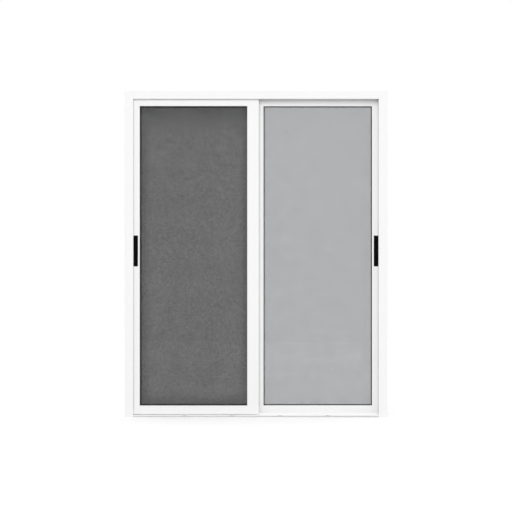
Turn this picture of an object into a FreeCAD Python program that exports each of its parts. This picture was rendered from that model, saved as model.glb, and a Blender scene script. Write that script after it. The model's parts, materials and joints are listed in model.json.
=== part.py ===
import FreeCAD, Part
import os
import re
import Sketcher

# Sliding patio door in its frame: an insect-screen leaf in the front track, a glass leaf in the
# middle track at the right and a glass leaf in the back track at the left, on a three-track sill.
# +X is to the right seen from the front, +Y is into the room behind, +Z is up.
# The origin is the middle of the sill's underside.

sizes = {
    # outside of the frame
    "door_width": 1650,
    "door_height": 2050,
    # depth of the lips and fins between the three tracks, and of the leaves that run there
    "front_lip": 14,
    "screen_fin": 5,
    "glass_fin": 5,
    "back_lip": 10,
    "screen_depth": 22,
    "glass_depth": 28,
    "track_gap": 7,
    # frame sections
    "jamb_face": 54,
    "head_face": 49,
    "frame_web": 2,
    "frame_wall": 1.6,
    "joint_gap": 0.15,
    # groove for brush pile in the inner faces of the two lips
    "pile_mouth": 3,
    "pile_seat": 5,
    "pile_lip": 0.8,
    "pile_depth": 2.4,
    "pile_from_end": 6,
    # shallow grooves along the outside of the webs, which key the frame to the wall's mortar
    "key_width": 6,
    "key_depth": 0.8,
    "key_from_middle": 45,
    # sill
    "sill_floor": 16,
    "sill_recess": 3,
    "sill_toe": 14,
    "toe_height": 8,
    "rail_thick": 4,
    "rail_top": 29,
    "back_upstand": 36,
    "weep_width": 12,
    "weep_height": 4.4,
    "weep_level": 12,
    "weep_pitch": 300,
    # leaves: where they end and how wide their members are
    "leaf_end_gap": 19,
    "leaf_bottom": 21,
    "leaf_top_gap": 28,
    "screen_stile_face": 73,
    "glass_stile_face": 74,
    "bottom_rail_face": 53,
    "top_rail_face": 65,
    "leaf_wall": 1.6,
    "screen_past_middle": 18,
    "glass_past_middle": 26.5,
    # glazing pocket, glass unit and gasket
    "bead_wall": 2,
    "pocket_depth": 13,
    "gasket_thick": 3,
    "gasket_show": 6,
    "gasket_hold": 8,
    "pane_thick": 4,
    "pane_edge_gap": 3,
    "spacer_set_back": 1,
    "spacer_width": 10,
    # insect mesh in its rebate
    "screen_lip": 11,
    "rebate_width": 9,
    "mesh_thick": 0.6,
    "mesh_edge_gap": 1,
    "spline_width": 5,
    "spline_depth": 4.5,
    # flush pulls
    "pull_level": 1046,
    "pull_from_end": 48,
    "pull_width": 28,
    "pull_length": 194,
    "pull_flange": 2,
    "pull_bevel": 0.8,
    "flange_side": 2,
    "flange_end": 6,
    "cup_depth": 9,
    "cup_wall": 1.5,
    "cup_corner": 2,
    "cup_gap": 0.3,
    # rollers and their housings
    "wheel_radius": 10.5,
    "wheel_rim": 2.5,
    "wheel_width": 9,
    "wheel_groove_gap": 0.5,
    "wheel_lift": 0.3,
    "wheel_from_end": 140,
    "pin_radius": 3,
    "pin_gap": 0.3,
    "housing_length": 60,
    "housing_side_gap": 1.2,
    "housing_below_pin": 6,
    # guides on top of the leaves, buffers in the jambs and stops in the head
    "guide_length": 50,
    "guide_height": 14,
    "guide_gap": 1,
    "guide_from_end": 13,
    "guide_nose": 5,
    "buffer_gap": 5,
    "buffer_depth": 20,
    "buffer_height": 60,
    "buffer_nose": 4,
    "buffer_level": 400,
    "stop_length": 30,
    "stop_above_leaf": 3,
    # interlock hooks between the glass leaves
    "hook_wall": 1.6,
    "hook_from_middle": 14,
    "hook_past_middle": 2,
    "hook_reach": 13.6,
    "hook_base": 11,
    "hook_end_gap": 20,
    "hook_to_pull": 13,
    # fixing holes
    "fixing_radius": 4,
    "fixing_from_end": 200,
    "fixing_middle_pitch": 550,
    "head_fixing_from_middle": 450,
    # rounding of the corners that show
    "edge_radius": 0.8,
}

# Places that follow from the sizes. Depths are measured from the frame's front face.
places = {
    "half_width": "door_width / 2",
    "screen_front": "front_lip + track_gap",
    "screen_fin_front": "screen_front + screen_depth + track_gap",
    "right_front": "screen_fin_front + screen_fin + track_gap",
    "glass_fin_front": "right_front + glass_depth + track_gap",
    "left_front": "glass_fin_front + glass_fin + track_gap",
    "back_lip_front": "left_front + glass_depth + track_gap",
    "frame_depth": "back_lip_front + back_lip",
    "frame_front": "0 - frame_depth / 2",
    "screen_track": "screen_front + screen_depth / 2",
    "right_track": "right_front + glass_depth / 2",
    "left_track": "left_front + glass_depth / 2",
    "web_inside": "half_width - frame_web",
    "lip_end": "half_width - jamb_face",
    "leaf_end": "web_inside - leaf_end_gap",
    "leaf_top": "door_height - leaf_top_gap",
    "leaf_height": "leaf_top - leaf_bottom",
    "pane_bottom": "leaf_bottom + bottom_rail_face",
    "pane_top": "leaf_top - top_rail_face",
    "head_bottom": "door_height - head_face",
    "wheel_level": "rail_top + wheel_lift + wheel_radius",
    "wheel_roof": "bottom_rail_face - pocket_depth - leaf_wall",
    "cup_width": "pull_width - 2 * flange_side",
    "cup_length": "pull_length - 2 * flange_end",
    "glass_travel": "leaf_end - pull_from_end - pull_width / 2 - hook_to_pull - hook_from_middle",
}

tracks = {
    "screen": {
        "front": "screen_front",
        "depth": "screen_depth",
        "middle": "screen_track",
        "stile": "screen_stile_face",
    },
    "right_leaf": {
        "front": "right_front",
        "depth": "glass_depth",
        "middle": "right_track",
        "stile": "glass_stile_face",
    },
    "left_leaf": {
        "front": "left_front",
        "depth": "glass_depth",
        "middle": "left_track",
        "stile": "glass_stile_face",
    },
}

doc = FreeCAD.newDocument("patio_door")
sheet = doc.addObject("Spreadsheet::Sheet", "sizes")
for row, (alias, value) in enumerate(sizes.items(), start=1):
    sheet.set(f"A{row}", alias)
    sheet.set(f"B{row}", str(value))
    sheet.setAlias(f"B{row}", alias)
doc.recompute()

nodes = []


def bound(text):
    """The words of a formula, turned into references to the sheet."""

    def reference(match):
        word = match.group(0)
        if word in sizes:
            return f"sizes.{word}"
        if word in places:
            return f"({bound(places[word])})"
        raise KeyError(f"no size or place is called {word}")

    return re.sub(r"[a-z_]+", reference, str(text))


def value(text):
    """The number that a formula gives now."""
    return float(sheet.evalExpression(bound(text)))


def bind(obj, prop, text):
    obj.setExpression(prop, bound(text))


def place(obj, x="0", y="0", z="0"):
    """Puts an object at a place in the frame's own axes."""
    for axis, text in zip("xyz", (x, y, z)):
        bind(obj, f"Placement.Base.{axis}", text)
    return obj


def keep(obj, label):
    """Names a finished piece and lists it for its file."""
    obj.Label = label
    nodes.append(obj)
    return obj


def around(middle, half):
    """The two formulas that lie half a width either side of a middle."""
    return f"({middle}) - ({half})", f"({middle}) + ({half})"


def box(name, x, y, z):
    """A block between two formulas on each axis."""
    block = doc.addObject("Part::Box", name)
    for prop, (low, high) in zip(("Length", "Width", "Height"), (x, y, z)):
        bind(block, prop, f"({high}) - ({low})")
    return place(block, x[0], y[0], z[0])


def cylinder(name, radius, length, turn, x, y, z):
    rod = doc.addObject("Part::Cylinder", name)
    bind(rod, "Radius", radius)
    bind(rod, "Height", length)
    rod.Placement = FreeCAD.Placement(FreeCAD.Vector(), turn)
    return place(rod, x, y, z)


def fuse(name, pieces):
    joined = doc.addObject("Part::MultiFuse", name)
    joined.Shapes = pieces
    return joined


def cut(name, base, tools):
    """Takes one or more tools out of a piece."""
    tool = tools[0] if len(tools) == 1 else fuse(f"{name}_tools", tools)
    rest = doc.addObject("Part::Cut", name)
    rest.Base = base
    rest.Tool = tool
    return rest


def group(name, pieces):
    """Like pieces that share a node without touching."""
    together = doc.addObject("Part::Compound", name)
    together.Links = pieces
    return together


def sketch_on(body, role, loops):
    """A sketch of closed loops, each corner bound to the sheet."""
    plane = next(f for f in body.Origin.OriginFeatures if f.Role == role)
    sketch = body.newObject("Sketcher::SketchObject", f"{body.Name}_section")
    sketch.AttachmentSupport = [(plane, "")]
    sketch.MapMode = "FlatFace"
    for loop in loops:
        first = sketch.GeometryCount
        corners = [FreeCAD.Vector(value(u), value(v), 0) for u, v in loop]
        count = len(corners)
        for index in range(count):
            line = Part.LineSegment(corners[index], corners[(index + 1) % count])
            sketch.addGeometry(line, False)
        for index in range(count):
            after = first + (index + 1) % count
            sketch.addConstraint(Sketcher.Constraint("Coincident", first + index, 2, after, 1))
        for index, (u, v) in enumerate(loop):
            for kind, text in (("DistanceX", u), ("DistanceY", v)):
                corner = Sketcher.Constraint(kind, -1, 1, first + index, 1, value(text))
                number = sketch.addConstraint(corner)
                bind(sketch, f"Constraints[{number}]", text)
    return sketch


def extrusion(name, role, loops, length, round_at=()):
    """A profile pushed along the axis that its plane faces, with small rounded corners."""
    body = doc.addObject("PartDesign::Body", name)
    sketch = sketch_on(body, role, loops)
    pad = body.newObject("PartDesign::Pad", f"{name}_pad")
    pad.Profile = sketch
    bind(pad, "Length", length)
    sketch.Visibility = False
    if round_at:
        doc.recompute()
        rounded = body.newObject("PartDesign::Fillet", f"{name}_corners")
        rounded.Base = (pad, long_edges(pad.Shape, role, round_at))
        bind(rounded, "Radius", "edge_radius")
    return body


def long_edges(shape, role, corners):
    """The edges along an extrusion that start at these corners of its profile."""
    across = {"XY_Plane": (0, 1), "XZ_Plane": (0, 2), "YZ_Plane": (1, 2)}[role]
    targets = [(value(u), value(v)) for u, v in corners]
    names = []
    for number, edge in enumerate(shape.Edges, start=1):
        ends = [vertex.Point for vertex in edge.Vertexes]
        spots = [(point[across[0]], point[across[1]]) for point in ends]
        if len(ends) == 2 and abs(spots[0][0] - spots[1][0]) + abs(spots[0][1] - spots[1][1]) < 1e-6:
            if any(abs(spots[0][0] - u) + abs(spots[0][1] - v) < 1e-6 for u, v in targets):
                names.append(f"Edge{number}")
    return names


def rectangle(u, v):
    """The corners of a rectangle between two formulas on each axis."""
    return [(u[0], v[0]), (u[1], v[0]), (u[1], v[1]), (u[0], v[1])]


def flip(loops, width):
    """The same profile mirrored within its own width."""
    return [[(f"({width}) - ({u})", v) for u, v in loop] for loop in loops]


half_turn = FreeCAD.Rotation(FreeCAD.Vector(0, 0, 1), 180)

# Frame: two jambs at full height, with the head and the sill between them

lips = [
    ("0", "front_lip"),
    ("screen_fin_front", "screen_fin_front + screen_fin"),
    ("glass_fin_front", "glass_fin_front + glass_fin"),
    ("back_lip_front", "frame_depth"),
]


def pile_groove(surface, inward):
    """The corners of a T-shaped groove in a lip's side, from its end upwards; inward is + or -."""
    low, high = around("pile_from_end", "pile_seat / 2")
    mouth_low, mouth_high = around("pile_from_end", "pile_mouth / 2")
    under, bottom = f"{surface} {inward} pile_lip", f"{surface} {inward} pile_depth"
    return [
        (surface, mouth_low), (under, mouth_low), (under, low), (bottom, low),
        (bottom, high), (under, high), (under, mouth_high), (surface, mouth_high),
    ]


def grooved_chamber(near, far, behind, face):
    """A chamber that is narrower behind the pile groove, from its plain side to its grooved side."""
    step = "pile_from_end + pile_seat / 2 + frame_wall"
    root = f"{face} - frame_web"
    return [(near, "frame_wall"), (behind, "frame_wall"), (behind, step),
            (far, step), (far, root), (near, root)]


def comb(face):
    """Outline and chambers of a section with four lips on a web, as (depth, rise) from the lips' ends."""
    root = f"{face} - frame_web"
    outline = [("0", face), ("0", "0"), ("front_lip", "0"), *pile_groove("front_lip", "-"),
               ("front_lip", root)]
    for front, back in lips[1:3]:
        outline += [(front, root), (front, "0"), (back, "0"), (back, root)]
    outline += [("back_lip_front", root), *reversed(pile_groove("back_lip_front", "+")),
                ("back_lip_front", "0"), ("frame_depth", "0"), ("frame_depth", face)]
    for middle in ("frame_depth / 2 + key_from_middle", "frame_depth / 2 - key_from_middle"):
        near, far = around(middle, "key_width / 2")
        outline += [(far, face), (far, f"{face} - key_depth"), (near, f"{face} - key_depth"), (near, face)]
    chambers = [
        grooved_chamber("frame_wall", "front_lip - frame_wall", "front_lip - pile_depth - frame_wall", face),
        grooved_chamber("frame_depth - frame_wall", "back_lip_front + frame_wall",
                        "back_lip_front + pile_depth + frame_wall", face),
    ]
    for front, back in lips[1:3]:
        chambers.append(rectangle((f"{front} + frame_wall", f"{back} - frame_wall"), ("frame_wall", root)))
    return [outline] + chambers


def lip_corners(face):
    """The corners of the two outer lips that show, as (depth, rise)."""
    return [("0", "0"), ("front_lip", "0"), ("back_lip_front", "0"), ("frame_depth", "0"),
            ("0", face), ("frame_depth", face)]


def fixing(name, x, y, z, turn):
    """A drill through a web, long enough to clear it."""
    return cylinder(name, "fixing_radius", "2 * frame_web", turn, x, y, z)


def make_jamb(side):
    name = f"{side}_jamb"
    loops = [[(rise, depth) for depth, rise in loop] for loop in comb("jamb_face")]
    corners = [(rise, depth) for depth, rise in lip_corners("jamb_face")]
    if side == "left":
        loops = flip(loops, "jamb_face")
        corners = flip([corners], "jamb_face")[0]
    section = extrusion(f"{name}_section", "XY_Plane", loops, "door_height", corners)
    place(section, "0 - half_width" if side == "left" else "lip_end", "frame_front")
    across = FreeCAD.Rotation(FreeCAD.Vector(0, 1, 0), 90)
    outside = "0 - half_width - frame_web / 2" if side == "left" else "half_width - 3 * frame_web / 2"
    levels = ("fixing_from_end", *around("door_height / 2", "fixing_middle_pitch / 2"),
              "door_height - fixing_from_end")
    drills = [
        fixing(f"{name}_drill_{count}", outside, "frame_front + right_track", level, across)
        for count, level in enumerate(levels)
    ]
    keep(cut(f"{name}_drilled", section, drills), name)


def end_cuts(name, z):
    """Room for the jambs' lips at both ends of the head or the sill."""
    tools = []
    for number, (front, back) in enumerate(lips):
        depth = (f"frame_front + {front}", f"frame_front + {back}")
        left = ("0 - half_width", "joint_gap - lip_end")
        right = ("lip_end - joint_gap", "half_width")
        tools.append(box(f"{name}_left_end_{number}", left, depth, z))
        tools.append(box(f"{name}_right_end_{number}", right, depth, z))
    return tools


def make_head():
    section = extrusion("head_section", "YZ_Plane", comb("head_face"), "2 * web_inside",
                        lip_corners("head_face"))
    place(section, "0 - web_inside", "frame_front", "head_bottom")
    tools = end_cuts("head", ("head_bottom", "door_height"))
    for side, x in (("left", "0 - head_fixing_from_middle"), ("right", "head_fixing_from_middle")):
        tools.append(fixing(f"head_drill_{side}", x, "frame_front + right_track",
                            "door_height - 3 * frame_web / 2", FreeCAD.Rotation()))
    keep(cut("head_cut", section, tools), "head")


def make_sill():
    outline = [("sill_toe", "0"), ("frame_depth", "0"), ("frame_depth", "back_upstand"),
               ("back_lip_front", "back_upstand"), ("back_lip_front", "sill_floor")]
    for track in ("left_track", "right_track", "screen_track"):
        front, back = around(track, "rail_thick / 2")
        outline += [(back, "sill_floor"), (back, "rail_top"), (front, "rail_top"), (front, "sill_floor")]
    outline += [("sill_recess", "sill_floor"), ("sill_recess", "toe_height"), ("sill_toe", "toe_height")]
    low, high = "frame_wall", "sill_floor - frame_wall"
    ribs = {track: around(track, "frame_wall / 2") for track in ("screen_track", "right_track", "left_track")}
    front_chamber = [
        ("sill_toe + frame_wall", low), (ribs["screen_track"][0], low),
        (ribs["screen_track"][0], high), ("sill_recess + frame_wall", high),
        ("sill_recess + frame_wall", "toe_height + frame_wall"),
        ("sill_toe + frame_wall", "toe_height + frame_wall"),
    ]
    back_chamber = [
        (ribs["left_track"][1], low), ("frame_depth - frame_wall", low),
        ("frame_depth - frame_wall", "back_upstand - frame_wall"),
        ("back_lip_front + frame_wall", "back_upstand - frame_wall"),
        ("back_lip_front + frame_wall", high), (ribs["left_track"][1], high),
    ]
    middle_chambers = [
        rectangle((ribs["screen_track"][1], ribs["right_track"][0]), (low, high)),
        rectangle((ribs["right_track"][1], ribs["left_track"][0]), (low, high)),
    ]
    corners = [("sill_recess", "sill_floor"), ("sill_recess", "toe_height"),
               ("back_lip_front", "back_upstand"), ("frame_depth", "back_upstand")]
    section = extrusion("sill_section", "YZ_Plane",
                        [outline, front_chamber, *middle_chambers, back_chamber],
                        "2 * web_inside", corners)
    place(section, "0 - web_inside", "frame_front")
    tools = end_cuts("sill", ("0", "back_upstand"))
    for number, pitches in enumerate((-1.5, -0.5, 0.5, 1.5)):
        tools.append(weep_slot(f"weep_{number}", f"{pitches} * weep_pitch"))
    keep(cut("sill_cut", section, tools), "sill")


def weep_slot(name, x):
    """A drain slot with round ends through the sill's front wall."""
    half = "(weep_width - weep_height) / 2"
    depth = ("frame_front", "frame_front + sill_recess + 2 * frame_wall")
    middle = box(f"{name}_middle", around(x, half), depth, around("weep_level", "weep_height / 2"))
    inward = FreeCAD.Rotation(FreeCAD.Vector(1, 0, 0), -90)
    ends = [
        cylinder(f"{name}_end_{sign}", "weep_height / 2", "sill_recess + 2 * frame_wall", inward,
                 f"{x} + {direction} * {half}", "frame_front", "weep_level")
        for sign, direction in (("low", -1), ("high", 1))
    ]
    return fuse(name, [middle, *ends])


def make_buffers(side, names):
    """Rubber blocks on a jamb's web, two for each leaf that closes or lands there."""
    blocks = []
    length = "leaf_end_gap - buffer_gap"
    back, front = around("0", "buffer_depth / 2")
    nose = f"{length} - buffer_nose"
    profile = [("0", back), (nose, back), (length, f"{back} + buffer_nose"),
               (length, f"{front} - buffer_nose"), (nose, front), ("0", front)]
    for leaf in names:
        for where, level in (("low", "buffer_level"), ("high", "door_height - buffer_level")):
            block = extrusion(f"{side}_buffer_{leaf}_{where}", "XY_Plane", [profile], "buffer_height")
            if side == "right":
                block.Placement = FreeCAD.Placement(FreeCAD.Vector(), half_turn)
            wall = "0 - web_inside" if side == "left" else "web_inside"
            middle = f"frame_front + {tracks[leaf]['middle']}"
            blocks.append(place(block, wall, middle, f"{level} - buffer_height / 2"))
    keep(group(f"{side}_buffers", blocks), f"{side}_jamb_buffers")


def make_stops():
    """Rubber stops under the head's web, where the opened glass leaves' guides meet them."""
    reach = "glass_past_middle - guide_from_end + glass_travel + buffer_gap"
    blocks = []
    for leaf, x in (("right_leaf", (f"0 - ({reach}) - stop_length", f"0 - ({reach})")),
                    ("left_leaf", (reach, f"{reach} + stop_length"))):
        depth = around(f"frame_front + {tracks[leaf]['middle']}", "buffer_depth / 2")
        tall = ("leaf_top + stop_above_leaf", "door_height - frame_web")
        blocks.append(box(f"head_stop_{leaf}", x, depth, tall))
    keep(group("stops", blocks), "head_stops")


# Leaves

leaves = {
    "screen": {"outer": "left", "low": "0 - leaf_end", "high": "screen_past_middle"},
    "right_leaf": {"outer": "right", "low": "0 - glass_past_middle", "high": "leaf_end"},
    "left_leaf": {"outer": "left", "low": "0 - leaf_end", "high": "glass_past_middle"},
}


def stile_profile(leaf):
    """Stile section as (across, depth): the outer edge at 0, the pane at the far side."""
    depth, face = tracks[leaf]["depth"], tracks[leaf]["stile"]
    if leaf == "screen":
        inner = f"{face} - rebate_width"
        outline = [("0", "0"), (face, "0"), (face, "screen_lip"), (inner, "screen_lip"),
                   (inner, depth), ("0", depth)]
        chamber = [("leaf_wall", "leaf_wall"), (f"{face} - leaf_wall", "leaf_wall"),
                   (f"{face} - leaf_wall", "screen_lip - leaf_wall"),
                   (f"{inner} - leaf_wall", "screen_lip - leaf_wall"),
                   (f"{inner} - leaf_wall", f"{depth} - leaf_wall"), ("leaf_wall", f"{depth} - leaf_wall")]
        corners = [outline[0], outline[1], outline[-1]]
    else:
        inner = f"{face} - pocket_depth"
        outline = [("0", "0"), (face, "0"), (face, "bead_wall"), (inner, "bead_wall"),
                   (inner, f"{depth} - bead_wall"), (face, f"{depth} - bead_wall"),
                   (face, depth), ("0", depth)]
        chamber = rectangle(("leaf_wall", f"{inner} - leaf_wall"), ("leaf_wall", f"{depth} - leaf_wall"))
        corners = [outline[0], outline[1], outline[-2], outline[-1]]
    return [outline, chamber], corners


def bottom_rail_profile(leaf):
    """Bottom rail section as (depth, height): a channel over the sill's rail, the pane's seat on top."""
    depth = tracks[leaf]["depth"]
    back = f"{depth} - leaf_wall"
    legs = [("0", "0"), ("leaf_wall", "0"), ("leaf_wall", "wheel_roof"), (back, "wheel_roof"),
            (back, "0"), (depth, "0")]
    seat = "bottom_rail_face - pocket_depth"
    if leaf == "screen":
        top = [(depth, "bottom_rail_face - rebate_width"), ("screen_lip", "bottom_rail_face - rebate_width"),
               ("screen_lip", "bottom_rail_face"), ("0", "bottom_rail_face")]
        chamber = [("leaf_wall", seat), (back, seat),
                   (back, "bottom_rail_face - rebate_width - leaf_wall"),
                   ("screen_lip - leaf_wall", "bottom_rail_face - rebate_width - leaf_wall"),
                   ("screen_lip - leaf_wall", "bottom_rail_face - leaf_wall"),
                   ("leaf_wall", "bottom_rail_face - leaf_wall")]
        return [legs + top, chamber], [top[-1]]
    top = [(depth, "bottom_rail_face"), (f"{depth} - bead_wall", "bottom_rail_face"),
           (f"{depth} - bead_wall", seat), ("bead_wall", seat), ("bead_wall", "bottom_rail_face"),
           ("0", "bottom_rail_face")]
    return [legs + top], [top[0], top[-1]]


def top_rail_profile(leaf):
    """Top rail section as (depth, height): the pane's seat below, a chamber above."""
    depth = tracks[leaf]["depth"]
    back, roof = f"{depth} - leaf_wall", "top_rail_face - leaf_wall"
    if leaf == "screen":
        outline = [("0", "0"), ("screen_lip", "0"), ("screen_lip", "rebate_width"), (depth, "rebate_width"),
                   (depth, "top_rail_face"), ("0", "top_rail_face")]
        chamber = [("leaf_wall", "leaf_wall"), ("screen_lip - leaf_wall", "leaf_wall"),
                   ("screen_lip - leaf_wall", "rebate_width + leaf_wall"),
                   (back, "rebate_width + leaf_wall"), (back, roof), ("leaf_wall", roof)]
        return [outline, chamber], [outline[0]]
    outline = [("0", "0"), ("bead_wall", "0"), ("bead_wall", "pocket_depth"),
               (f"{depth} - bead_wall", "pocket_depth"), (f"{depth} - bead_wall", "0"), (depth, "0"),
               (depth, "top_rail_face"), ("0", "top_rail_face")]
    chamber = rectangle(("leaf_wall", back), ("pocket_depth + leaf_wall", roof))
    return [outline, chamber], [outline[0], outline[5]]


def make_stile(leaf, side):
    """One stile, notched over the sill's rail; the outer one has a window for the pulls."""
    low, high, outer = (leaves[leaf][key] for key in ("low", "high", "outer"))
    role = "outer_stile" if side == outer else "meeting_stile"
    name, face = f"{leaf}_{role}", tracks[leaf]["stile"]
    loops, corners = stile_profile(leaf)
    if side == "right":
        loops, corners = flip(loops, face), flip([corners], face)[0]
    section = extrusion(f"{name}_section", "XY_Plane", loops, "leaf_height", corners)
    x = low if side == "left" else f"{high} - {face}"
    front = f"frame_front + {tracks[leaf]['front']}"
    back = f"{front} + {tracks[leaf]['depth']}"
    place(section, x, front, "leaf_bottom")
    over_rail = around(f"frame_front + {tracks[leaf]['middle']}", "rail_thick / 2 + track_gap")
    tools = [box(f"{name}_notch", (x, f"{x} + {face}"), over_rail, ("leaf_bottom", "rail_top + track_gap"))]
    if role == "outer_stile":
        tools.append(box(f"{name}_window", around(pull_middle(leaf), "cup_width / 2 + cup_gap"),
                         (front, back), around("pull_level", "cup_length / 2 + cup_gap")))
    keep(cut(f"{name}_cut", section, tools), name)


def make_rail(leaf, which, profile, z):
    """One rail, cut square between the stiles, with a hair's breadth at each joint."""
    low, high = leaves[leaf]["low"], leaves[leaf]["high"]
    loops, corners = profile(leaf)
    inset = f"({tracks[leaf]['stile']} + joint_gap)"
    length = f"({high}) - ({low}) - 2 * {inset}"
    rail = extrusion(f"{leaf}_{which}_section", "YZ_Plane", loops, length, corners)
    place(rail, f"{low} + {inset}", f"frame_front + {tracks[leaf]['front']}", z)
    keep(rail, f"{leaf}_{which}")


def rim_edges(shape):
    """The outer edges of the pull's front face."""
    front = min(shape.Faces, key=lambda face: face.CenterOfMass.y)
    return [f"Edge{number}" for number, edge in enumerate(shape.Edges, start=1)
            if any(edge.isSame(other) for other in front.OuterWire.Edges)]


def pull_middle(leaf):
    """Where the pulls sit across the door."""
    if leaves[leaf]["outer"] == "left":
        return f"{leaves[leaf]['low']} + pull_from_end"
    return f"{leaves[leaf]['high']} - pull_from_end"


def pane_span(leaf, past):
    """Across and up, from the visible edge of the pane out by a formula."""
    low, high, face = leaves[leaf]["low"], leaves[leaf]["high"], tracks[leaf]["stile"]
    across = (f"{low} + {face} - ({past})", f"{high} - {face} + ({past})")
    return across, (f"pane_bottom - ({past})", f"pane_top + ({past})")


def ring(name, leaf, outside, inside, depth):
    """A rectangular ring round the pane, from one formula past its visible edge to another."""
    outer = box(f"{name}_outside", *in_order(pane_span(leaf, outside), depth))
    hole = box(f"{name}_inside", *in_order(pane_span(leaf, inside), depth))
    return cut(name, outer, [hole])


def in_order(span, depth):
    """X, Y and Z ranges of a block from its span and its depth."""
    return span[0], depth, span[1]


def make_glazing(leaf):
    """Two panes on a spacer, held between two black gaskets."""
    leaf_front = f"frame_front + {tracks[leaf]['front']}"
    front = f"{leaf_front} + bead_wall"
    outer_pane = f"{front} + gasket_thick"
    outer_back = f"{outer_pane} + pane_thick"
    inner_front = f"{leaf_front} + glass_depth - bead_wall - gasket_thick - pane_thick"
    inner_back = f"{inner_front} + pane_thick"
    edge = "pocket_depth - pane_edge_gap"
    panes = [
        box(f"{leaf}_pane_{number}", *in_order(pane_span(leaf, edge), depth))
        for number, depth in enumerate(((outer_pane, outer_back), (inner_front, inner_back)))
    ]
    keep(group(f"{leaf}_panes", panes), f"{leaf}_glass")
    outside = f"{edge} - spacer_set_back"
    between = (outer_back, inner_front)
    spacer = ring(f"{leaf}_spacer_ring", leaf, outside, f"{outside} - spacer_width", between)
    keep(spacer, f"{leaf}_spacer")
    seals = [
        ring(f"{leaf}_seal_{number}", leaf, "gasket_hold", "0 - gasket_show", depth)
        for number, depth in enumerate(((front, outer_pane), (inner_back, f"{inner_back} + gasket_thick")))
    ]
    keep(group(f"{leaf}_seals", seals), f"{leaf}_gasket")


def make_mesh():
    """Insect mesh behind the screen's lips, with the rubber spline that holds it."""
    front = "frame_front + screen_front + screen_lip"
    back = f"{front} + mesh_thick"
    edge = "rebate_width - mesh_edge_gap"
    keep(box("mesh_sheet", *in_order(pane_span("screen", edge), (front, back))), "screen_mesh")
    spline = ring("spline_ring", "screen", edge, f"{edge} - spline_width", (back, f"{back} + spline_depth"))
    keep(spline, "screen_spline")


def make_pull(leaf, face):
    """A moulded flush pull: a flange on the stile and a cup let into it, drawn facing -Y."""
    name = f"{leaf}_{face}_pull"
    body = doc.addObject("PartDesign::Body", name)
    flange = [rectangle(around("0", "pull_width / 2"), around("0", "pull_length / 2"))]
    shell = [rectangle(around("0", "cup_width / 2"), around("0", "cup_length / 2"))]
    hollow = [rectangle(around("0", "cup_width / 2 - cup_wall"), around("0", "cup_length / 2 - cup_wall"))]
    plate = body.newObject("PartDesign::Pad", f"{name}_flange")
    plate.Profile = sketch_on(body, "XZ_Plane", flange)
    bind(plate, "Length", "pull_flange")
    back = body.newObject("PartDesign::Pad", f"{name}_cup")
    back.Profile = sketch_on(body, "XZ_Plane", shell)
    bind(back, "Length", "cup_depth")
    back.Reversed = True
    doc.recompute()
    solid = body.Shape.Volume
    for number, (depth, turned) in enumerate((("pull_flange", True), ("cup_depth - cup_wall", False))):
        pocket = body.newObject("PartDesign::Pocket", f"{name}_hollow_{number}")
        pocket.Profile = sketch_on(body, "XZ_Plane", hollow)
        bind(pocket, "Length", depth)
        pocket.Reversed = turned
    doc.recompute()
    cavity = value("(cup_width - 2 * cup_wall) * (cup_length - 2 * cup_wall)") * value(
        "pull_flange + cup_depth - cup_wall")
    if abs(solid - body.Shape.Volume - cavity) > 1e-3 * cavity:
        raise RuntimeError(f"the cup of {name} was not cut as drawn")
    inside = body.newObject("PartDesign::Fillet", f"{name}_inside")
    inside.Base = (pocket, long_edges(pocket.Shape, "XZ_Plane", hollow[0]))
    bind(inside, "Radius", "cup_corner")
    doc.recompute()
    rim = body.newObject("PartDesign::Chamfer", f"{name}_bevel")
    rim.Base = (inside, rim_edges(inside.Shape))
    bind(rim, "Size", "pull_bevel")
    front = f"frame_front + {tracks[leaf]['front']}"
    if face == "inner":
        body.Placement = FreeCAD.Placement(FreeCAD.Vector(), half_turn)
        front = f"{front} + {tracks[leaf]['depth']}"
    place(body, pull_middle(leaf), front, "pull_level")
    keep(body, name)


def wheel_places(leaf):
    """Where the two rollers of a leaf sit across the door."""
    low, high = leaves[leaf]["low"], leaves[leaf]["high"]
    return (("low", f"{low} + wheel_from_end"), ("high", f"{high} - wheel_from_end"))


def make_rollers(leaf):
    """Two grooved wheels on the sill's rail, each on the pin of its own housing."""
    middle = f"frame_front + {tracks[leaf]['middle']}"
    inward = FreeCAD.Rotation(FreeCAD.Vector(1, 0, 0), -90)
    sideways = FreeCAD.Rotation(FreeCAD.Vector(0, 0, 1), 90)
    groove = around("0", "rail_thick / 2 + wheel_groove_gap")
    face = around("0", "wheel_width / 2")
    bore, rim = "pin_radius + pin_gap", "wheel_radius + wheel_rim"
    profile = [
        (face[0], bore), (face[1], bore), (face[1], rim), (groove[1], rim), (groove[1], "wheel_radius"),
        (groove[0], "wheel_radius"), (groove[0], rim), (face[0], rim),
    ]
    wheels, housings = [], []
    for end, x in wheel_places(leaf):
        wheel = doc.addObject("PartDesign::Body", f"{leaf}_wheel_{end}")
        sketch = sketch_on(wheel, "XY_Plane", [profile])
        turned = wheel.newObject("PartDesign::Revolution", f"{leaf}_wheel_{end}_turned")
        turned.Profile = sketch
        turned.ReferenceAxis = (sketch, ["H_Axis"])
        turned.Angle = 360
        wheel.Placement = FreeCAD.Placement(FreeCAD.Vector(), sideways)
        wheels.append(place(wheel, x, middle, "wheel_level"))
        housings.append(make_housing(leaf, end, x, inward))
    keep(group(f"{leaf}_wheels", wheels), f"{leaf}_rollers")
    keep(group(f"{leaf}_housings", housings), f"{leaf}_roller_housings")


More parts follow.
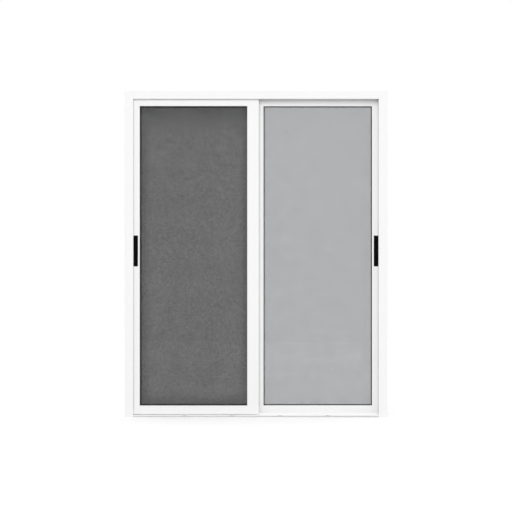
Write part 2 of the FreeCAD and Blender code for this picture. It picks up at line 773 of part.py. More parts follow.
def make_housing(leaf, end, x, inward):
    """A folded steel bracket under the bottom rail's web, with the wheel's pin across it."""
    name = f"{leaf}_housing_{end}"
    inside = f"{tracks[leaf]['depth']} - 2 * leaf_wall"
    width = f"({inside} - 2 * housing_side_gap)"
    top = "leaf_bottom + wheel_roof"
    bottom = "wheel_level - housing_below_pin"
    wall = "frame_web"
    tall = f"{top} - ({bottom})"
    profile = [
        ("0", "0"), (wall, "0"), (wall, f"{tall} - {wall}"), (f"{width} - {wall}", f"{tall} - {wall}"),
        (f"{width} - {wall}", "0"), (width, "0"), (width, tall), ("0", tall),
    ]
    front = f"frame_front + {tracks[leaf]['middle']} - {width} / 2"
    bracket = extrusion(f"{name}_bracket", "YZ_Plane", [profile], "housing_length")
    place(bracket, f"{x} - housing_length / 2", front, bottom)
    pin = cylinder(f"{name}_pin", "pin_radius", width, inward, x, front, "wheel_level")
    return fuse(name, [bracket, pin])


def make_guides(leaf):
    """Nylon guides on the stiles' tops, with tapered ends, a sliding fit between the head's fins."""
    low, high = leaves[leaf]["low"], leaves[leaf]["high"]
    half = f"({tracks[leaf]['depth']} / 2 + track_gap - guide_gap)"
    front, back = around("0", half)
    start, end = around("0", "guide_length / 2")
    profile = [
        (f"{start} + guide_nose", front), (f"{end} - guide_nose", front), (end, f"{front} + guide_nose"),
        (end, f"{back} - guide_nose"), (f"{end} - guide_nose", back), (f"{start} + guide_nose", back),
        (start, f"{back} - guide_nose"), (start, f"{front} + guide_nose"),
    ]
    from_end = "guide_from_end + guide_length / 2"
    blocks = []
    for number, x in enumerate((f"{low} + {from_end}", f"{high} - ({from_end})")):
        block = extrusion(f"{leaf}_guide_{number}", "XY_Plane", [profile], "guide_height")
        blocks.append(place(block, x, f"frame_front + {tracks[leaf]['middle']}", "leaf_top"))
    keep(group(f"{leaf}_guides", blocks), f"{leaf}_top_guides")


def make_interlock(leaf):
    """The hook of a glass leaf's meeting stile, which reaches behind the other leaf's hook."""
    reach_from = "hook_reach - hook_wall"
    leg = "0 - hook_from_middle"
    profile = [
        (f"{leg} - hook_base", "0"), (f"{leg} + hook_wall", "0"), (f"{leg} + hook_wall", reach_from),
        ("hook_past_middle", reach_from), ("hook_past_middle", "hook_reach"), (leg, "hook_reach"),
        (leg, "hook_wall"), (f"{leg} - hook_base", "hook_wall"),
    ]
    start = "rail_top + hook_end_gap"
    body = extrusion(f"{leaf}_hook", "XY_Plane", [profile], f"head_bottom - hook_end_gap - ({start})")
    front = "frame_front + right_front + glass_depth"
    if leaf == "left_leaf":
        body.Placement = FreeCAD.Placement(FreeCAD.Vector(), half_turn)
        front = "frame_front + left_front"
    place(body, "0", front, start)
    keep(body, f"{leaf}_interlock")


for side in ("left", "right"):
    make_jamb(side)
make_head()
make_sill()
make_buffers("left", ("screen", "left_leaf"))
make_buffers("right", ("screen", "right_leaf"))
make_stops()
for leaf in leaves:
    make_stile(leaf, "left")
    make_stile(leaf, "right")
    make_rail(leaf, "bottom_rail", bottom_rail_profile, "leaf_bottom")
    make_rail(leaf, "top_rail", top_rail_profile, "pane_top")
    for face in ("outer", "inner"):
        make_pull(leaf, face)
    make_rollers(leaf)
    make_guides(leaf)
make_mesh()
for leaf in ("right_leaf", "left_leaf"):
    make_glazing(leaf)
    make_interlock(leaf)

doc.recompute()

for obj in doc.Objects:
    if "Invalid" in obj.State or "Error" in obj.State:
        raise RuntimeError(f"{obj.Label} could not be worked out: {obj.State}")

os.makedirs("parts", exist_ok=True)
for node in nodes:
    shape = node.Shape
    if shape.isNull() or not shape.isValid() or not shape.Solids:
        raise RuntimeError(f"{node.Label} has no sound solid")
    shape.exportStep(f"parts/{node.Label}.step")
    print(f"{node.Label}: {len(shape.Solids)} solid(s), {shape.Volume / 1000:.1f} cm3")
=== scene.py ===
# Finish, insect mesh, brush pile and small fittings of a sliding patio door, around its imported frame.
# Metres. X runs across the door, Y from the screen's side into the room, Z up.
import json
import math

import bpy
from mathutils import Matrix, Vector


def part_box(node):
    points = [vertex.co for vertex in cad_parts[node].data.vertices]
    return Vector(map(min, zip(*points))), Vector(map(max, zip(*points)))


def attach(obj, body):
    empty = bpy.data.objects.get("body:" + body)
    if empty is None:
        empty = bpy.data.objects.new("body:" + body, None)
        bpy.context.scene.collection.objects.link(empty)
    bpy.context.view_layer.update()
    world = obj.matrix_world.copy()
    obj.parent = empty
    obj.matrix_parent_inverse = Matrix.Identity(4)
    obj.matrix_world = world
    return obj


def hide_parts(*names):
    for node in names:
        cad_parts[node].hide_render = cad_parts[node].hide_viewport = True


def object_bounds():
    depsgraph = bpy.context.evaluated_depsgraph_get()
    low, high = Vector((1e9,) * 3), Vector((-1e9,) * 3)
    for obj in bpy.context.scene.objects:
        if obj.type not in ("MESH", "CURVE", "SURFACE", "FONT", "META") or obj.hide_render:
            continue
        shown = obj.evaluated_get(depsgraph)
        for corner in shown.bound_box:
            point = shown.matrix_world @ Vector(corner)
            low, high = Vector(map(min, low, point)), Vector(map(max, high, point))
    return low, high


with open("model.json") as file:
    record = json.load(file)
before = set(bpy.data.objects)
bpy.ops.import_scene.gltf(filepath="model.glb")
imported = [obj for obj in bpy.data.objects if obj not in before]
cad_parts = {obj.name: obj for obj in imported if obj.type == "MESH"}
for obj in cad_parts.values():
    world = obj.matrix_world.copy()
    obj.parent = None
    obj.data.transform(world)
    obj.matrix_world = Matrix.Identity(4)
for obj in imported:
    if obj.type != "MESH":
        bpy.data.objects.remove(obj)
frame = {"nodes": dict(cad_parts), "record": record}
nodes = frame["nodes"]
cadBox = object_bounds()
print("frame loaded:", len(nodes), "nodes")


class Wire:  # one shader socket; sums on it add Math nodes
    def __init__(self, paint, socket):
        self.paint, self.socket = paint, socket

    def sum(self, operation, first, second):
        return self.paint.node("ShaderNodeMath", {"operation": operation}, {0: first, 1: second})

    def __add__(self, other):
        return self.sum("ADD", self, other)

    __radd__ = __add__

    def __mul__(self, other):
        return self.sum("MULTIPLY", self, other)

    __rmul__ = __mul__

    def __sub__(self, other):
        return self.sum("SUBTRACT", self, other)

    def __rsub__(self, other):
        return self.sum("SUBTRACT", other, self)

    def __truediv__(self, other):
        return self.sum("DIVIDE", self, other)

    def __pow__(self, other):
        return self.sum("POWER", self, other)

    def __lt__(self, other):
        return self.sum("LESS_THAN", self, other)

    def larger(self, other):
        return self.sum("MAXIMUM", self, other)

    def wrapped(self, pitch):  # distance from the nearest of its even steps
        return self.sum("PINGPONG", self, pitch / 2)


class Paint:  # the shader nodes of a material or of the world
    def __init__(self, owner):
        owner.use_nodes = True
        self.owner, self.tree = owner, owner.node_tree
        self.tree.nodes.clear()

    def node(self, kind, settings=None, values=None, take=0):
        made = self.tree.nodes.new(kind)
        for name, setting in (settings or {}).items():
            setattr(made, name, setting)
        for name, value in (values or {}).items():
            if isinstance(value, Wire):
                self.tree.links.new(value.socket, made.inputs[name])
            else:
                made.inputs[name].default_value = value
        return Wire(self, made.outputs[take])

    def place(self):
        return self.node("ShaderNodeTexCoord", take="Object")

    def axis(self, name):
        return self.node("ShaderNodeSeparateXYZ", None, {"Vector": self.place()}, name)

    def noise(self, scale, detail=2, stretch=(1, 1, 1)):
        spread = self.node("ShaderNodeMapping", None, {"Vector": self.place(), "Scale": stretch})
        return self.node("ShaderNodeTexNoise", None, {"Vector": spread, "Scale": scale, "Detail": detail})

    def ramp(self, value, low, high, shape="LINEAR"):  # 0 at low, 1 at high
        return self.node("ShaderNodeMapRange", {"interpolation_type": shape},
                         {"Value": value, "From Min": low, "From Max": high})

    def blend(self, share, first, second):  # two colours by a share from 0 to 1
        sides = [side if isinstance(side, Wire) else (*side, 1) for side in (first, second)]
        return self.node("ShaderNodeMix", {"data_type": "RGBA"}, {0: share, 6: sides[0], 7: sides[1]}, 2)

    def bump(self, height, depth):
        return self.node("ShaderNodeBump", None, {"Height": height, "Distance": depth})

    def surface(self, shader, ending="ShaderNodeOutputMaterial"):
        output = self.tree.nodes.new(ending)
        self.tree.links.new(shader.socket, output.inputs["Surface"])
        return self.owner

    def principled(self, values):
        return self.surface(self.node("ShaderNodeBsdfPrincipled", None, values))


def newPaint(name):
    return Paint(bpy.data.materials.new(name))


coat = {
    "white": (0.9, 0.898, 0.896),
    "cooler": (0.88, 0.882, 0.882),
    "cloudScale": 2.2,
    "peelScale": 620,
    "peelDepth": 0.00003,
    "roughness": 0.36,
    "roughnessVaries": 0.1,
}


def powderCoat():  # satin white with a fine orange peel
    paint = newPaint("powderCoat")
    cloud = paint.noise(coat["cloudScale"], detail=3)
    peel = paint.noise(coat["peelScale"], detail=1)
    return paint.principled({
        "Base Color": paint.blend(cloud, coat["white"], coat["cooler"]),
        "Roughness": coat["roughness"] + coat["roughnessVaries"] * cloud,
        "Normal": paint.bump(peel, coat["peelDepth"]),
    })


glazing = {
    "through": (0.9, 0.903, 0.908),
    "film": (0.506, 0.51, 0.52),
    "filmShare": (0.22, 0.38),  # least and most haze over the pane
    "hazeScale": 12,
    "shine": (1, 1, 1),
    "headOn": 0.03,  # share mirrored where the pane is seen straight on
    "slantPower": 5,  # higher keeps the mirror to steeper slants
    "roughness": 0.02,
}


def tintedGlass():
    # grey pane: light passes tinted, a faint haze scatters some, the skin mirrors more at a slant
    paint = newPaint("tintedGlass")
    slant = paint.node("ShaderNodeLayerWeight", None, {"Blend": 0.5}, "Facing")
    mirrored = glazing["headOn"] + (1 - glazing["headOn"]) * slant ** glazing["slantPower"]
    least, most = glazing["filmShare"]
    haze = least + (most - least) * paint.noise(glazing["hazeScale"], detail=4)
    clear = paint.node("ShaderNodeBsdfTransparent", None, {"Color": (*glazing["through"], 1)})
    film = paint.node("ShaderNodeBsdfDiffuse", None, {"Color": (*glazing["film"], 1)})
    skin = paint.node("ShaderNodeBsdfGlossy", None,
                      {"Color": (*glazing["shine"], 1), "Roughness": glazing["roughness"]})
    body = paint.node("ShaderNodeMixShader", None, {0: haze, 1: clear, 2: film})
    return paint.surface(paint.node("ShaderNodeMixShader", None, {0: mirrored, 1: body, 2: skin}))


yarn = {
    "black": (0.019, 0.018, 0.0165),
    "worn": (0.032, 0.031, 0.029),
    "mottleScale": 260,
    "dust": (0.175, 0.17, 0.163),
    "dustScale": 40,
    "dustRun": 5,  # a streak's length to its width
    "dustFrom": (0.24, 0.78),  # noise where dust starts, and where it is full
    "shadedEdges": {"left": 0.09, "right": 0.07, "bottom": 0.1, "top": 0.24},  # reach of the painted shade rim, where the dust fades out; widest at the top
    "grainScale": 2600,
    "grainDepth": 0.00004,
    "roughness": 0.55,
    "roughnessVaries": 0.2,
    "shine": 0.25,
}


def awayFromEdges(paint, node, reaches):  # 0 at the edges of a flat piece, 1 past each edge's reach
    low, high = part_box(node)
    across, up = paint.axis("X"), paint.axis("Z")
    depths = {"left": across - low.x, "right": high.x - across, "bottom": up - low.z, "top": high.z - up}
    left, right, bottom, top = [paint.ramp(depth, 0, reaches[edge], "SMOOTHSTEP")
                                for edge, depth in depths.items()]
    return left * right * bottom * top


def coatedYarn():  # vinyl-coated glass yarn, dusty in streaks along warp and weft, with a painted shade rim: the dust fades out by its edges, most at the top
    paint = newPaint("coatedYarn")
    mottle = paint.noise(yarn["mottleScale"])
    run, (least, most) = yarn["dustRun"], yarn["dustFrom"]
    warp, weft = [paint.noise(yarn["dustScale"], stretch=stretch) for stretch in ((run, 1, 1), (1, 1, run))]
    streaks = paint.ramp((warp + weft) / 2, least, most)
    # painted shade: the lighter dust is kept off a rim along the mesh's edges, so the edges read darker,
    # most at the top
    dustAndRimShade = streaks * awayFromEdges(paint, "screen_mesh", yarn["shadedEdges"])
    clean = paint.blend(mottle, yarn["black"], yarn["worn"])
    return paint.principled({
        "Base Color": paint.blend(dustAndRimShade, clean, yarn["dust"]),
        "Roughness": yarn["roughness"] + yarn["roughnessVaries"] * mottle,
        "Specular IOR Level": yarn["shine"],
        "Normal": paint.bump(paint.noise(yarn["grainScale"], detail=1), yarn["grainDepth"]),
    })


pull = {
    "black": (0.0012, 0.0012, 0.0012),
    "rubbed": (0.0028, 0.0028, 0.0029),
    "rubScale": 30,
    "grainScale": 1700,
    "grainDepth": 0.00006,
    "roughness": 0.5,
    "roughnessVaries": 0.16,
    "shine": 0.035,
}


def mouldedBlack():  # fine spark-eroded grain on black nylon
    paint = newPaint("mouldedBlack")
    touched = paint.noise(pull["rubScale"], detail=3)
    return paint.principled({
        "Base Color": paint.blend(touched, pull["black"], pull["rubbed"]),
        "Roughness": pull["roughness"] + pull["roughnessVaries"] * touched,
        "Specular IOR Level": pull["shine"],
        "Normal": paint.bump(paint.noise(pull["grainScale"]), pull["grainDepth"]),
    })


rubbers = {
    "glazingRubber": {"dark": (0.008, 0.008, 0.008), "light": (0.016, 0.016, 0.016), "shine": 0.2},
    "bufferRubber": {"dark": (0.035, 0.035, 0.036), "light": (0.06, 0.06, 0.062), "shine": 0.35},
    "bloomScale": 45,
    "grainScale": 900,
    "grainDepth": 0.00008,
    "roughness": 0.62,
    "roughnessVaries": 0.22,
}


def rubber(name):
    paint = newPaint(name)
    bloom = paint.noise(rubbers["bloomScale"], detail=3)
    return paint.principled({
        "Base Color": paint.blend(bloom, rubbers[name]["dark"], rubbers[name]["light"]),
        "Roughness": rubbers["roughness"] + rubbers["roughnessVaries"] * bloom,
        "Specular IOR Level": rubbers[name]["shine"],
        "Normal": paint.bump(paint.noise(rubbers["grainScale"]), rubbers["grainDepth"]),
    })


zinc = {
    "dull": (0.42, 0.43, 0.44),
    "bright": (0.62, 0.63, 0.64),
    "spangleScale": 140,
    "grainScale": 700,
    "grainDepth": 0.00003,
    "roughness": 0.3,
    "roughnessVaries": 0.22,
}


def zincSteel():  # galvanised sheet with its flat crystals
    paint = newPaint("zincSteel")
    spangle = paint.node("ShaderNodeTexVoronoi", None,
                         {"Vector": paint.place(), "Scale": zinc["spangleScale"]}, "Color")
    shade = paint.node("ShaderNodeSeparateColor", None, {"Color": spangle}, "Red")
    return paint.principled({
        "Base Color": paint.blend(shade, zinc["dull"], zinc["bright"]),
        "Metallic": 1.0,
        "Roughness": zinc["roughness"] + zinc["roughnessVaries"] * shade,
        "Normal": paint.bump(paint.noise(zinc["grainScale"]), zinc["grainDepth"]),
    })


nylon = {
    "pale": (0.74, 0.73, 0.69),
    "warm": (0.66, 0.65, 0.6),
    "cloudScale": 60,
    "grainScale": 1100,
    "grainDepth": 0.00005,
    "roughness": 0.42,
    "roughnessVaries": 0.14,
}


def naturalNylon():
    paint = newPaint("naturalNylon")
    cloud = paint.noise(nylon["cloudScale"], detail=3)
    return paint.principled({
        "Base Color": paint.blend(cloud, nylon["pale"], nylon["warm"]),
        "Roughness": nylon["roughness"] + nylon["roughnessVaries"] * cloud,
        "Normal": paint.bump(paint.noise(nylon["grainScale"]), nylon["grainDepth"]),
    })


spacerBar = {
    "alloy": (0.42, 0.42, 0.43),
    "hole": (0.03, 0.03, 0.03),
    "rowPitch": 0.003,
    "rowShift": 0.0008,  # of a row from each pitch's middle line
    "holePitch": 0.004,
    "holeRadius": 0.0006,
    "brushScale": 90,
    "brushRun": 8,
    "roughness": 0.34,
    "roughnessVaries": 0.1,
}


def spacerAlloy():  # roll-formed bar with two rows of breather holes between the panes
    paint = newPaint("spacerAlloy")
    across = paint.axis("Y").wrapped(spacerBar["rowPitch"])
    along = (paint.axis("X") + paint.axis("Z")).wrapped(spacerBar["holePitch"])
    hole = ((across - spacerBar["rowShift"]) ** 2 + along ** 2) < spacerBar["holeRadius"] ** 2
    brushed = paint.noise(spacerBar["brushScale"], stretch=(1, 1, spacerBar["brushRun"]))
    return paint.principled({
        "Base Color": paint.blend(hole, spacerBar["alloy"], spacerBar["hole"]),
        "Metallic": 1.0 - hole,
        "Roughness": spacerBar["roughness"] + spacerBar["roughnessVaries"] * brushed,
    })


wool = {
    "dark": (0.3, 0.3, 0.3),
    "light": (0.5, 0.5, 0.5),
    "tuftScale": 900,
    "roughness": 0.8,
    "roughnessVaries": 0.15,
}


def pileWool():  # silicone-treated polypropylene pile
    paint = newPaint("pileWool")
    tuft = paint.noise(wool["tuftScale"])
    return paint.principled({
        "Base Color": paint.blend(tuft, wool["dark"], wool["light"]),
        "Roughness": wool["roughness"] + wool["roughnessVaries"] * tuft,
    })


blackening = {
    "dark": (0.006, 0.006, 0.007),
    "smeared": (0.016, 0.016, 0.017),
    "smearScale": 900,
    "metallic": 0.3,
    "roughness": 0.4,
    "roughnessVaries": 0.2,
    "shine": 0.2,
}


def blackenedSteel():
    paint = newPaint("blackenedSteel")
    smear = paint.noise(blackening["smearScale"])
    return paint.principled({
        "Base Color": paint.blend(smear, blackening["dark"], blackening["smeared"]),
        "Metallic": blackening["metallic"],
        "Roughness": blackening["roughness"] + blackening["roughnessVaries"] * smear,
        "Specular IOR Level": blackening["shine"],
    })


finishes = {
    "white_coat": powderCoat(),
    "tinted_glass": tintedGlass(),
    "insect_mesh": coatedYarn(),
    "black_pull": mouldedBlack(),
    "black_rubber": rubber("glazingRubber"),
    "buffer_rubber": rubber("bufferRubber"),
    "galvanised_steel": zincSteel(),
    "nylon": naturalNylon(),
    "spacer_alloy": spacerAlloy(),
}
for entry in frame["record"]["subparts"]:
    for place in nodes[entry["node"]].material_slots:
        place.material = finishes[entry["material_slot"]]
print("finishes on the frame's nodes")


class Tree:  # one Geometry Nodes tree with named inputs
    def __init__(self, name):
        self.tree = bpy.data.node_groups.new(name, "GeometryNodeTree")
        self.tree.interface.new_socket("Geometry", in_out="OUTPUT", socket_type="NodeSocketGeometry")
        self.inlet = self.tree.nodes.new("NodeGroupInput")
        self.outlet = self.tree.nodes.new("NodeGroupOutput")

    def size(self, name, value=None, kind="NodeSocketFloat"):
        socket = self.tree.interface.new_socket(name, in_out="INPUT", socket_type=kind)
        if value is not None:
            socket.default_value = value
        return self.inlet.outputs[name]

    def node(self, kind, settings=None, values=None, take=0):
        made = self.tree.nodes.new(kind)
        for name, setting in (settings or {}).items():
            setattr(made, name, setting)
        for name, value in (values or {}).items():
            for one in value if isinstance(value, list) else [value]:
                if isinstance(one, bpy.types.NodeSocket):
                    self.tree.links.new(one, made.inputs[name])
                else:
                    made.inputs[name].default_value = one
        return made.outputs[take]

    def sum(self, operation, first, second=0.0):
        return self.node("ShaderNodeMath", {"operation": operation}, {0: first, 1: second})

    def vector(self, x=0.0, y=0.0, z=0.0):
        return self.node("ShaderNodeCombineXYZ", None, {"X": x, "Y": y, "Z": z})

    def moved(self, shape, values):
        return self.node("GeometryNodeTransform", None, {"Geometry": shape, **values})

    def onPoints(self, points, shape, values=None):
        return self.node("GeometryNodeInstanceOnPoints", None,
                         {"Points": points, "Instance": shape, **(values or {})})

    def finish(self, instances, material):
        whole = self.node("GeometryNodeRealizeInstances", None, {"Geometry": instances})
        painted = self.node("GeometryNodeSetMaterial", None, {"Geometry": whole, "Material": material})
        self.tree.links.new(painted, self.outlet.inputs[0])
        return self.tree


def grow(name, tree, sizes, points=(), lines=()):
    # runs a tree on a mesh of bare points and lines, and keeps the result as a plain mesh
    seed = bpy.data.meshes.new(f"{name}Seed")
    seed.from_pydata([tuple(p) for p in points], lines, [])
    maker = bpy.data.objects.new(f"{name}Maker", seed)
    bpy.context.scene.collection.objects.link(maker)
    modifier = maker.modifiers.new("grow", "NODES")
    modifier.node_group = tree
    for item in tree.interface.items_tree:
        if item.in_out == "INPUT" and item.name in sizes:
            modifier[item.identifier] = sizes[item.name]
    graph = bpy.context.evaluated_depsgraph_get()
    mesh = bpy.data.meshes.new_from_object(maker.evaluated_get(graph), preserve_all_data_layers=True,
                                           depsgraph=graph)
    maker.modifiers.remove(modifier)
    bpy.data.objects.remove(maker)
    mesh.name = name
    made = bpy.data.objects.new(name, mesh)
    bpy.context.scene.collection.objects.link(made)
    print(name, len(mesh.polygons), "faces")
    return made


netting = {"pitch": 0.0015, "strand": 0.0006, "sides": 6, "flat": 0.5}  # flat: depth to width of a strand


def strandRows(tree, width, height, pitch, strand, sides, turned):
    # one row of round strands: upright ones step across, level ones step up
    span, length = (height, width) if turned else (width, height)
    count = tree.sum("FLOOR", tree.sum("DIVIDE", span, pitch))
    halfRow = tree.sum("MULTIPLY", tree.sum("MULTIPLY", tree.sum("SUBTRACT", count, 1.0), pitch), -0.5)
    step = tree.vector(z=pitch) if turned else tree.vector(x=pitch)
    start = tree.vector(z=halfRow) if turned else tree.vector(x=halfRow)
    row = tree.node("GeometryNodeMeshLine", None, {"Count": count, "Start Location": start, "Offset": step})
    rod = tree.node("GeometryNodeMeshCylinder", None,
                    {"Vertices": sides, "Radius": tree.sum("MULTIPLY", strand, 0.5), "Depth": length})
    turn = (0, math.pi / 2, 0) if turned else (0, 0, 0)
    return tree.onPoints(row, tree.moved(rod, {"Rotation": turn}))


def nettingTree():
    tree = Tree("nettingTree")
    width, height = tree.size("Width"), tree.size("Height")
    middle = tree.size("Middle", kind="NodeSocketVector")
    pitch, strand = tree.size("Pitch", netting["pitch"]), tree.size("Strand", netting["strand"])
    flat, sides = tree.size("Flat", netting["flat"]), tree.size("Sides", netting["sides"], "NodeSocketInt")
    rows = [strandRows(tree, width, height, pitch, strand, sides, turned) for turned in (False, True)]
    both = tree.node("GeometryNodeJoinGeometry", None, {"Geometry": rows})
    thin = tree.moved(both, {"Translation": middle, "Scale": tree.vector(1.0, flat, 1.0)})
    return tree.finish(thin, finishes["insect_mesh"])


def insectMesh():
    low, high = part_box("screen_mesh")
    margin = netting["strand"]
    sizes = {"Width": high.x - low.x - margin, "Height": high.z - low.z - margin, "Middle": (low + high) / 2}
    made = grow("insectMesh", nettingTree(), sizes)
    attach(made, "screen_leaf")
    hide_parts("screen_mesh")


insectMesh()

pile = {
    "fromLipEnd": 0.006,  # middle of the pile, from where the lips end
    "lipDepths": (0.014, 0.144),  # inner faces of the front and back lips, from the frame's front
    "grooveDepth": 0.0022,
    "reach": 0.0058,
    "pitch": 0.0022,  # from clump to clump
    "spread": 0.0008,  # radius of a clump
    "clump": 4,  # bristles in a clump
    "sides": 3,
    "bristle": 0.00035,  # radius at the root
    "tipShare": 0.6,
    "lean": 0.16,  # radians either way
    "tapeWidth": 0.0044,
    "tapeThick": 0.0007,
    "bottom": 0.045,
    "top": 1.99,
    "headInset": 0.065,  # ends of the head's pile, from the jambs' pile
    "seed": 7,
}


def pileTree():
    # backing tape along each line, with clumps of bristles that point between the lips
    tree = Tree("pileTree")
    curve = tree.node("GeometryNodeMeshToCurve", None, {0: tree.size("Lines", None, "NodeSocketGeometry")})
    upright = tree.node("GeometryNodeSetCurveNormal", {"mode": "Z_UP"}, {0: curve})
    deep, wide = tree.size("TapeDeep"), tree.size("TapeWide")
    section = tree.node("GeometryNodeCurvePrimitiveQuadrilateral", None, {"Width": deep, "Height": wide})
    tape = tree.node("GeometryNodeCurveToMesh", None, {0: upright, 1: section, "Fill Caps": True})
    reach, bristle = tree.size("Reach", pile["reach"]), tree.size("Bristle", pile["bristle"])
    tip = tree.sum("MULTIPLY", bristle, tree.size("TipShare", pile["tipShare"]))
    sides, clump = [tree.size(name, pile[key], "NodeSocketInt")
                    for name, key in (("Sides", "sides"), ("Clump", "clump"))]
    single = tree.node("GeometryNodeMeshCone", None,
                       {"Vertices": sides, "Radius Top": tip, "Radius Bottom": bristle, "Depth": reach})
    ring = tree.node("GeometryNodeMeshCircle", None,
                     {"Vertices": clump, "Radius": tree.size("Spread", pile["spread"])})
    steps = tree.node("GeometryNodeResampleCurve", {"mode": "LENGTH"},
                      {0: curve, "Length": tree.size("Pitch", pile["pitch"])})
    depth = tree.node("ShaderNodeSeparateXYZ", None, {0: tree.node("GeometryNodeInputPosition")}, "Y")
    inward = tree.sum("MULTIPLY", tree.sum("SIGN", depth), math.pi / 2)
    lean, seed = tree.size("Lean", pile["lean"]), tree.size("Seed", pile["seed"], "NodeSocketInt")
    tilt = tree.node("FunctionNodeRandomValue", None,
                     {2: tree.sum("MULTIPLY", lean, -1.0), 3: lean, "Seed": seed}, 1)
    spin = tree.node("FunctionNodeRandomValue", None, {3: math.pi, "Seed": tree.sum("ADD", seed, 1)}, 1)
    leaning = tree.vector(tree.sum("ADD", inward, tilt), tilt, 0.0)
    turned = tree.onPoints(steps, tree.onPoints(ring, single), {"Rotation": leaning})
    spun = tree.node("GeometryNodeRotateInstances", None, {0: turned, "Rotation": tree.vector(z=spin)})
    both = tree.node("GeometryNodeJoinGeometry", None, {"Geometry": [tape, spun]})
    return tree.finish(both, pileWool())


def brushPile():
    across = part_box("right_jamb")[0].x + pile["fromLipEnd"]
    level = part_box("head")[0].z + pile["fromLipEnd"]
    headEnd = across - pile["headInset"]
    frontLip, backLip = [cadBox[0].y + depth for depth in pile["lipDepths"]]
    depths = [frontLip - pile["grooveDepth"], backLip + pile["grooveDepth"]]
    strips = {
        "jambPile": [((x, y, pile["bottom"]), (x, y, pile["top"]))
                     for x in (-across, across) for y in depths],
        "headPile": [((-headEnd, y, level), (headEnd, y, level)) for y in depths],
    }
    tree = pileTree()
    for name, runs in strips.items():
        flatOn = (pile["tapeWidth"], pile["tapeThick"])
        deep, wide = flatOn if name == "jambPile" else reversed(flatOn)
        points = [end for run in runs for end in run]
        lines = [(2 * number, 2 * number + 1) for number in range(len(runs))]
        made = grow(name, tree, {"TapeDeep": deep, "TapeWide": wide}, points, lines)
        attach(made, "frame")


brushPile()

pullScrews = {
    "radius": 0.0021,
    "rise": 0.0006,
    "fromEnd": 0.003,  # from the pull's end
    "crossWide": 0.0006,
    "crossLong": 0.0026,
    "cutPerRise": 1.1,  # height of the cutting bars, centred on the dome's top
    "segments": 20,
    "rings": 10,
}


def screwTree():
    # low domed heads with a cross cut into both faces
    tree = Tree("screwTree")
    spots = tree.size("Spots", None, "NodeSocketGeometry")
    radius, rise, wide, long, share = [tree.size(name, pullScrews[key]) for name, key in (
        ("Radius", "radius"), ("Rise", "rise"), ("CrossWide", "crossWide"), ("CrossLong", "crossLong"),
        ("CutPerRise", "cutPerRise"))]
    segments, rings = [tree.size(name, pullScrews[key], "NodeSocketInt")
                       for name, key in (("Segments", "segments"), ("Rings", "rings"))]
    ball = tree.node("GeometryNodeMeshUVSphere", None, {"Segments": segments, "Rings": rings, "Radius": 1.0})
    head = tree.moved(ball, {"Scale": tree.vector(radius, rise, radius)})
    deep = tree.sum("MULTIPLY", rise, share)
    bars = []
    for across, up in ((wide, long), (long, wide)):
        bar = tree.node("GeometryNodeMeshCube", None, {"Size": tree.vector(across, deep, up)})
        for side in (-1.0, 1.0):
            bars.append(tree.moved(bar, {"Translation": tree.vector(y=tree.sum("MULTIPLY", rise, side))}))
    cross = tree.node("GeometryNodeMeshBoolean", {"operation": "DIFFERENCE", "solver": "EXACT"},
                      {0: head, 1: bars})
    return tree.finish(tree.onPoints(spots, cross), blackenedSteel())


def flushScrews():
    tree = screwTree()
    bodies = {"screen": "screen_leaf", "right_leaf": "right_glass_leaf", "left_leaf": "left_glass_leaf"}
    for leaf, body in bodies.items():
        spots = []
        for face in ("outer", "inner"):
            low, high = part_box(f"{leaf}_{face}_pull")
            depth = low.y if face == "outer" else high.y
            for level in (low.z + pullScrews["fromEnd"], high.z - pullScrews["fromEnd"]):
                spots.append(((low.x + high.x) / 2, depth, level))
        made = grow(f"{body}_pullScrews", tree, {}, spots)
        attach(made, body)


flushScrews()

stage = {
    "floorReach": 20.0,
    "floorWhite": (0.72, 0.72, 0.72),
    "floorLift": 0.44,  # glow that only the camera, mirrors and glass see
    "dome": 0.63,  # sky that lights the door; seen straight it is 1
    "softKey": {"aim": (0.06, 1.0, -0.38), "spread": 30, "strength": 1.33},
    "backFill": {"aim": (-0.3, -1.0, -1.0), "spread": 64, "strength": 0.4},
    "lens": 250,
    "distance": 22.33,
    "aimHeight": 1.0143,
    "farthest": 200,  # the camera sees no further
}


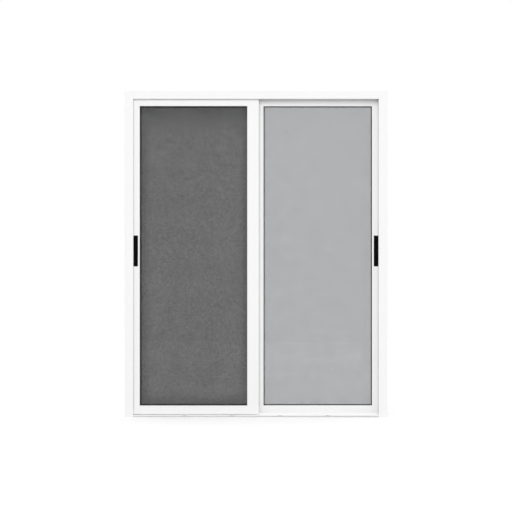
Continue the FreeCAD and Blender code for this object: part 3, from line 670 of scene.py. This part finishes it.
def seenStraight(paint):  # 1 for rays from the camera, a mirror or glass
    camera, mirror, glass = [paint.node("ShaderNodeLightPath", take=name)
                             for name in ("Is Camera Ray", "Is Glossy Ray", "Is Transmission Ray")]
    return camera.larger(mirror).larger(glass)


def studioFloor():
    paint = newPaint("studioFloor")
    matt = paint.node("ShaderNodeBsdfDiffuse", None, {"Color": (*stage["floorWhite"], 1)})
    lift = paint.node("ShaderNodeEmission", None,
                      {"Color": (1, 1, 1, 1), "Strength": stage["floorLift"] * seenStraight(paint)})
    reach = stage["floorReach"]
    corners = [(-reach, -reach, 0), (reach, -reach, 0), (reach, reach, 0), (-reach, reach, 0)]
    mesh = bpy.data.meshes.new("studioFloor")
    mesh.from_pydata(corners, [], [(0, 1, 2, 3)])
    mesh.materials.append(paint.surface(paint.node("ShaderNodeAddShader", None, {0: matt, 1: lift})))
    made = bpy.data.objects.new("studioFloor", mesh)
    bpy.context.scene.collection.objects.link(made)


def studioDome():
    paint = Paint(bpy.data.worlds.new("studioDome"))
    strength = stage["dome"] + (1 - stage["dome"]) * seenStraight(paint)
    sky = paint.node("ShaderNodeBackground", None, {"Color": (1, 1, 1, 1), "Strength": strength})
    bpy.context.scene.world = paint.surface(sky, "ShaderNodeOutputWorld")


def studioLamps():
    for name in ("softKey", "backFill"):
        light = bpy.data.lights.new(name, "SUN")
        light.angle = math.radians(stage[name]["spread"])
        light.energy = stage[name]["strength"]
        lamp = bpy.data.objects.new(name, light)
        lamp.rotation_euler = Vector(stage[name]["aim"]).to_track_quat("-Z", "Y").to_euler()
        bpy.context.scene.collection.objects.link(lamp)


def frontCamera():
    lens = bpy.data.cameras.new("camera")
    lens.lens = stage["lens"]
    lens.clip_end = stage["farthest"]
    made = bpy.data.objects.new("camera", lens)
    made.location = (0, cadBox[0].y - stage["distance"], stage["aimHeight"])
    made.rotation_euler = (math.pi / 2, 0, 0)
    bpy.context.scene.collection.objects.link(made)
    bpy.context.scene.camera = made


studioFloor()
studioDome()
studioLamps()
frontCamera()
bpy.context.scene.view_settings.view_transform = "Standard"
print("stage and camera set")
